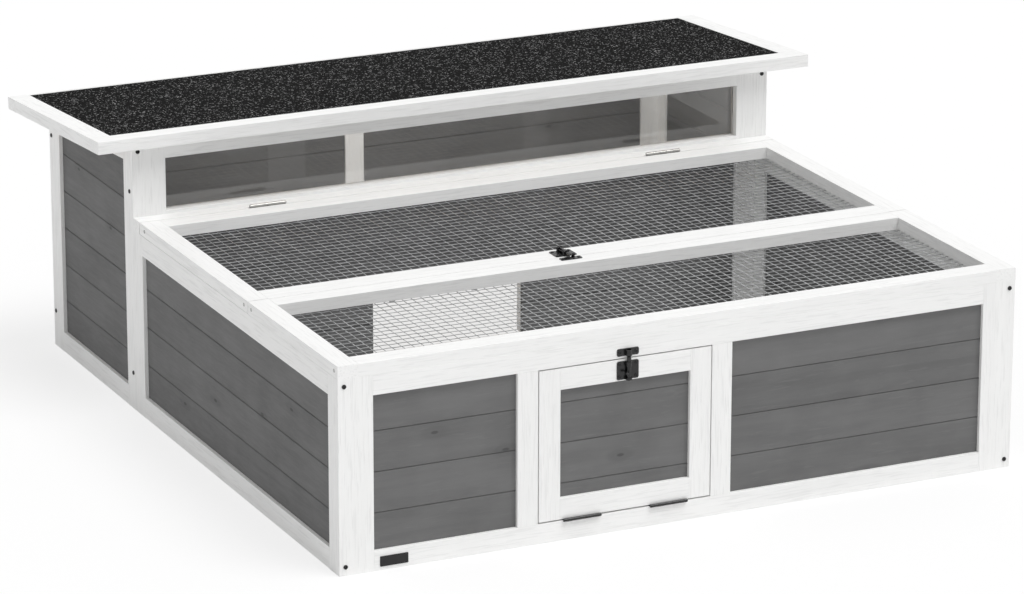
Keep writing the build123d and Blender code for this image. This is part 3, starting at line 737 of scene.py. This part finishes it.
@dataclass
class Net(SubAssembly):
    """A welded net under one mesh frame, with its staples and the pale screws in the frame's sides."""

    node: str = "front_net"
    body: str = "house"
    first_row: float = -476.05 * MM
    rows: int = 20
    top: float = WALL_TOP
    screw_places: tuple[float, ...] = (10.4 * MM, 272.0 * MM)
    pitch: float = 12.7 * MM
    first_column: float = -449.1 * MM
    columns: int = 72
    radius: float = 0.53 * MM
    weld: float = 0.2 * MM
    overrun: float = 1.2 * MM
    crimp: float = 0.55 * MM
    deep_crimp: float = 0.4
    sides: int = 5
    smooth_below: float = 60.0
    wander_size: float = 0.06
    wander_across: float = 0.0016
    wander_deep: float = 0.0018
    staple_inset: float = 3.0 * MM
    staple_columns: tuple[int, int] = (4, 9)
    staple_rows: tuple[int, int] = (3, 6)
    screw_height: float = 261.7 * MM
    first_turn: float = 0.4
    turn_per_metre: float = 9.0

    def wire(self, along: int, start: Point, cells: int) -> bpy.types.Object:
        """Model one wire and its crimps.

        Args:
            along: 0 for a wire along X, 1 for one along Y.
            start: Centre of its first crossing.
            cells: How many meshes it spans.

        Returns:
            The wire.
        """
        length = cells * self.pitch + 2 * self.overrun
        centre = list(start)
        centre[along] += cells * self.pitch / 2
        turn = (0, math.pi / 2, 0) if along == 0 else (math.pi / 2, 0, 0)
        deselect()
        bpy.ops.mesh.primitive_cylinder_add(
            vertices=self.sides, radius=self.radius, depth=length, location=centre, rotation=turn
        )
        wire = bpy.context.object
        settle(wire)

        def runs_along(edge: Any) -> bool:
            """True for the edges that run along the wire."""
            run = edge.verts[1].co - edge.verts[0].co
            return abs(run[along]) > MOSTLY * run.length

        for cuts in (cells - 1, 1):
            edit(wire, "EDGE", runs_along)
            bpy.ops.mesh.subdivide(number_cuts=cuts)
        step = length / (2 * cells)
        low = centre[along] - length / 2
        sway = self.crimp if along == 0 else self.crimp * self.deep_crimp
        for phase, sign in ((1, 1), (3, -1)):
            edit(wire, "VERT", lambda vertex: round((vertex.co[along] - low) / step) % 4 == phase)
            move = (0, sign * sway, 0) if along == 0 else (sign * sway, 0, 0)
            bpy.ops.transform.translate(value=move)
        pick(wire)
        bpy.ops.object.shade_smooth_by_angle(angle=math.radians(self.smooth_below))
        return wire

    @staticmethod
    def repeat(wire: bpy.types.Object, step: Point, count: int) -> bpy.types.Object:
        """Set copies of a wire side by side.

        Args:
            wire: The first wire.
            step: From one wire to the next, in metres.
            count: How many wires there are.

        Returns:
            All of them as one piece.
        """
        apply_modifier(wire, "ARRAY", use_relative_offset=False, use_constant_offset=True,
                       constant_offset_displace=step, count=count)
        return wire

    def build(self) -> list[bpy.types.Object]:
        """Model the net, its staples and the frame's side screws."""
        upper = self.top - self.radius
        lower = upper - 2 * self.radius + self.weld
        corner = (self.first_column, self.first_row)
        cross = self.repeat(self.wire(0, (*corner, upper), self.columns - 1), (0, self.pitch, 0), self.rows)
        deep = self.repeat(self.wire(1, (*corner, lower), self.rows - 1), (self.pitch, 0, 0), self.columns)
        net = join(f"{self.node}_wires", [cross, deep])
        wander = bpy.data.textures.new(f"{self.node}_wander", "CLOUDS")
        wander.noise_scale = self.wander_size
        for direction, strength in (("X", self.wander_across), ("Y", self.wander_deep)):
            apply_modifier(net, "DISPLACE", texture=wander, texture_coords="LOCAL", direction=direction,
                           strength=strength, mid_level=0.5)
        self.finish_piece(net, GALVANISED, "mesh_wire", self.body)
        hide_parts(self.node)
        return [net, self.staples(), self.side_screws()]

    def staples(self) -> bpy.types.Object:
        """Staple the net's edges to the frame, at every so many columns and rows from a first one."""
        inset = self.staple_inset
        last_row = self.first_row + (self.rows - 1) * self.pitch
        last_column = self.first_column + (self.columns - 1) * self.pitch
        first, step = self.staple_columns
        places = []
        for k in range(first, self.columns, step):
            x = self.first_column + k * self.pitch
            places += [Matrix.Translation((x, y, self.top)) for y in (self.first_row + inset, last_row - inset)]
        first, step = self.staple_rows
        for k in range(first, self.rows - 2, step):
            y = self.first_row + k * self.pitch
            places += [
                Matrix.Translation((x, y, self.top)) @ Matrix.Rotation(math.pi / 2, 4, "Z")
                for x in (self.first_column + inset, last_column - inset)
            ]
        staples = copy_to(f"{self.node}_staples", Staple().build(), places)
        return self.finish_piece(staples, GALVANISED, "mesh_wire", self.body)

    def side_screws(self) -> bpy.types.Object:
        """Set the pale screws in the frame's left and right edges."""
        places = [
            facing(
                (side * HALF_WIDTH, FRONT + y, self.screw_height), (side, 0, 0),
                self.first_turn + self.turn_per_metre * y,
            )
            for side in (-1, 1) for y in self.screw_places
        ]
        screws = copy_to(f"{self.node}_side_screws", RecessedScrew().build(), places)
        return self.finish_piece(screws, PALE_SCREW, "hinge_zinc", self.body)


@dataclass
class FrontFrame(Net):
    """The fixed mesh frame and the ledge behind the lid."""

    finishes: dict[str, Finish] = field(default_factory=lambda: {
        "mesh_frame_sides": WHITE_DEPTHWISE, "mesh_frame_rails": WHITE_ACROSS, "hinge_ledge": WHITE_ACROSS,
        "front_net": GALVANISED,
    })


@dataclass
class Lid(Net):
    """The hinged mesh frame."""

    finishes: dict[str, Finish] = field(default_factory=lambda: {
        "lid_sides": WHITE_DEPTHWISE, "lid_rails": WHITE_ACROSS, "lid_net": GALVANISED,
    })
    node: str = "lid_net"
    body: str = "lid"
    first_row: float = -196.65 * MM
    rows: int = 28
    top: float = 253.3 * MM
    screw_places: tuple[float, ...] = (295.7 * MM, 639.1 * MM)


@dataclass
class Door(SubAssembly):
    """The drop-down door."""

    finishes: dict[str, Finish] = field(default_factory=lambda: {
        "door_stiles": WHITE_UPRIGHT, "door_rails": WHITE_ACROSS, "door_boards": GREY_ACROSS,
    })


@dataclass
class Roof(SubAssembly):
    """The hinged roof and the screws of its hinges."""

    finishes: dict[str, Finish] = field(default_factory=lambda: {
        "roof_front_rail": WHITE_ACROSS, "roof_back_rail": WHITE_ACROSS, "roof_side_rails": WHITE_DEPTHWISE,
        "roof_battens": WHITE_DEPTHWISE, "roof_deck": BARE_PLYWOOD, "roof_felt": ROOF_FELT,
    })
    leaf_face: float = 497.548 * MM
    screw_height: float = 333.0 * MM
    hinge_middle: float = 300.0 * MM
    screw_spacing: float = 17.0 * MM

    def build(self) -> list[bpy.types.Object]:
        """Fix the roof hinges' leaves to the back wall with three screws each."""
        places = [
            facing(
                (side * self.hinge_middle + k * self.screw_spacing, self.leaf_face, self.screw_height),
                (0, 1, 0), k,
            )
            for side in (-1, 1) for k in (-1, 0, 1)
        ]
        model = RecessedScrew(radius=1.9 * MM, head=0.5 * MM, slot=2.2 * MM, slot_width=0.5 * MM)
        screws = copy_to("roof_hinge_screws", model.build(), places)
        return [self.finish_piece(screws, ZINC, "hinge_zinc", "house")]


@dataclass
class Ironmongery(SubAssembly):
    """The hinges, the latches and the latches' screws."""

    # The door hinges take the black coat where the lid and roof hinges take zinc: their black is partly the
    # hinges' own dark finish and partly painted shade standing in for the shaded undersides of their knuckles.
    finishes: dict[str, Finish] = field(default_factory=lambda: {
        **{f"{where}_hinge_{part}": finish
           for where, finish in (("door", BLACK_COAT), ("lid", ZINC), ("roof", ZINC))
           for part in ("fixed_leaves", "moving_leaves", "pins")},
        **{f"{where}_latch_{part}": BLACK_COAT
           for where in ("door", "lid") for part in ("body", "bolt", "keeper")},
        "door_latch_screws": BLACK_SCREW, "lid_latch_screws": BLACK_SCREW, "keeper_screws": BLACK_SCREW,
    })


@dataclass
class Studio:
    """The floor, the light and the camera."""

    lens: float = 175.78
    sensor: float = 36.0
    clip: Pair = (0.1, 200.0)
    eye: Point = (-2.70877, -5.73464, 2.18399)
    azimuth: float = 0.440618982
    elevation: float = 0.310523775
    roll: float = 0.001394549
    sun_place: Point = (1.0, -2.0, 4.0)
    towards_sun: Point = (0.14, -0.2, 0.54)
    sun_strength: float = 1.92
    sun_width: float = 35.0
    sky: float = 0.53
    floor_shade: float = 0.93
    floor_white: float = 0.72
    floor_size: float = 80.0
    floor_height: float = -0.2 * MM
    fill_place: Point = (0.0, 0.21, 0.345)
    fill_back: Point = (0.0, -1.0, 0.35)
    fill_size: Pair = (0.84, 0.04)
    fill_power: float = 0.8

    def build(self) -> None:
        """Lay the floor, light the scene and place the camera."""
        self.lay_floor()
        self.light()
        self.light_hutch()
        self.place_camera()

    def lay_floor(self) -> None:
        """A plain pale floor a hair below the house; the rays that show it see it partly as plain white."""
        deselect()
        bpy.ops.mesh.primitive_plane_add(size=self.floor_size, location=(0, 0, self.floor_height))
        floor = bpy.context.object
        floor.name = "floor"
        settle(floor)
        material = bpy.data.materials.new("floor")
        material.use_nodes = True
        tree = Tree(material.node_tree)
        plain = tree.add("ShaderNodeBsdfDiffuse", {"Color": rgba((self.floor_shade,) * 3)})
        white = tree.add("ShaderNodeEmission", {"Color": rgba((1.0, 1.0, 1.0)), "Strength": 1.0})
        share = tree.scale(self.seen_rays(tree), self.floor_white)
        mixed = tree.add("ShaderNodeMixShader", {0: share, 1: plain.outputs[0], 2: white.outputs[0]})
        tree.add("ShaderNodeOutputMaterial", {"Surface": mixed.outputs[0]})
        floor.data.materials.append(material)

    def light(self) -> None:
        """An even sky and one wide sun from the front right."""
        deselect()
        bpy.ops.object.light_add(type="SUN", location=self.sun_place)
        sun = bpy.context.object
        sun.data.energy = self.sun_strength
        sun.data.angle = math.radians(self.sun_width)
        sun.rotation_euler = Vector(self.towards_sun).to_track_quat("Z", "Y").to_euler()
        world = bpy.data.worlds.new("sky")
        bpy.context.scene.world = world
        world.use_nodes = True
        tree = Tree(world.node_tree)
        seen = self.seen_rays(tree)
        lit = tree.add("ShaderNodeBackground", {"Color": (1, 1, 1, 1), "Strength": self.sky})
        white = tree.add("ShaderNodeBackground", {"Color": (1, 1, 1, 1), "Strength": 1.0})
        mixed = tree.add("ShaderNodeMixShader", {0: seen, 1: lit.outputs[0], 2: white.outputs[0]})
        tree.add("ShaderNodeOutputWorld", {"Surface": mixed.outputs[0]})

    @staticmethod
    def seen_rays(tree: Tree) -> bpy.types.NodeSocket:
        """1 for the rays that show the background, straight, mirrored or through glass."""
        rays = tree.add("ShaderNodeLightPath").outputs
        seen = tree.math("MAXIMUM", rays["Is Camera Ray"], rays["Is Glossy Ray"])
        return tree.math("MAXIMUM", seen, rays["Is Transmission Ray"])

    def light_hutch(self) -> None:
        """A weak wide fill inside the hutch, as the photograph shows the room behind the window."""
        deselect()
        bpy.ops.object.light_add(type="AREA", location=self.fill_place)
        fill = bpy.context.object
        fill.data.shape = "RECTANGLE"
        fill.data.size, fill.data.size_y = self.fill_size
        fill.data.energy = self.fill_power
        fill.rotation_euler = Vector(self.fill_back).to_track_quat("Z", "Y").to_euler()
        fill.visible_camera = fill.visible_glossy = fill.visible_transmission = False

    def place_camera(self) -> None:
        """The camera at the photograph's viewing angle."""
        flat, down = math.cos(self.elevation), math.sin(self.elevation)
        sine, cosine = math.sin(self.azimuth), math.cos(self.azimuth)
        ahead = Vector((sine * flat, cosine * flat, -down))
        right = Vector((cosine, -sine, 0.0))
        up = right.cross(ahead)
        level = right * math.cos(self.roll) + up * math.sin(self.roll)
        upright = up * math.cos(self.roll) - right * math.sin(self.roll)
        turn = Matrix((level, upright, -ahead)).transposed().to_4x4()
        data = bpy.data.cameras.new("camera")
        data.sensor_width = self.sensor
        data.lens = self.lens
        data.clip_start, data.clip_end = self.clip
        camera = bpy.data.objects.new("camera", data)
        bpy.context.collection.objects.link(camera)
        camera.matrix_world = Matrix.Translation(self.eye) @ turn
        bpy.context.scene.camera = camera


def main() -> None:
    """Dress and build every part of the house in order."""
    logging.basicConfig(level=logging.INFO, format="%(message)s")
    bpy.context.scene.view_settings.view_transform = "Standard"
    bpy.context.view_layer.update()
    effects = Effects()
    dressed: set[str] = set()
    for kind in (Walls, FrontFrame, Lid, Door, Roof, Ironmongery):
        part = kind(effects)
        part.dress()
        dressed |= set(part.finishes)
        pieces = part.build()
        deselect()
        log.info("%s: %d nodes dressed", kind.__name__, len(part.finishes))
        for piece in pieces:
            log.info("  %s: %d faces", piece.name, len(piece.data.polygons))
    for name in sorted(set(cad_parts) - dressed):
        log.warning("node %s has no finish", name)
    Studio().build()


if __name__ == "__main__":
    main()
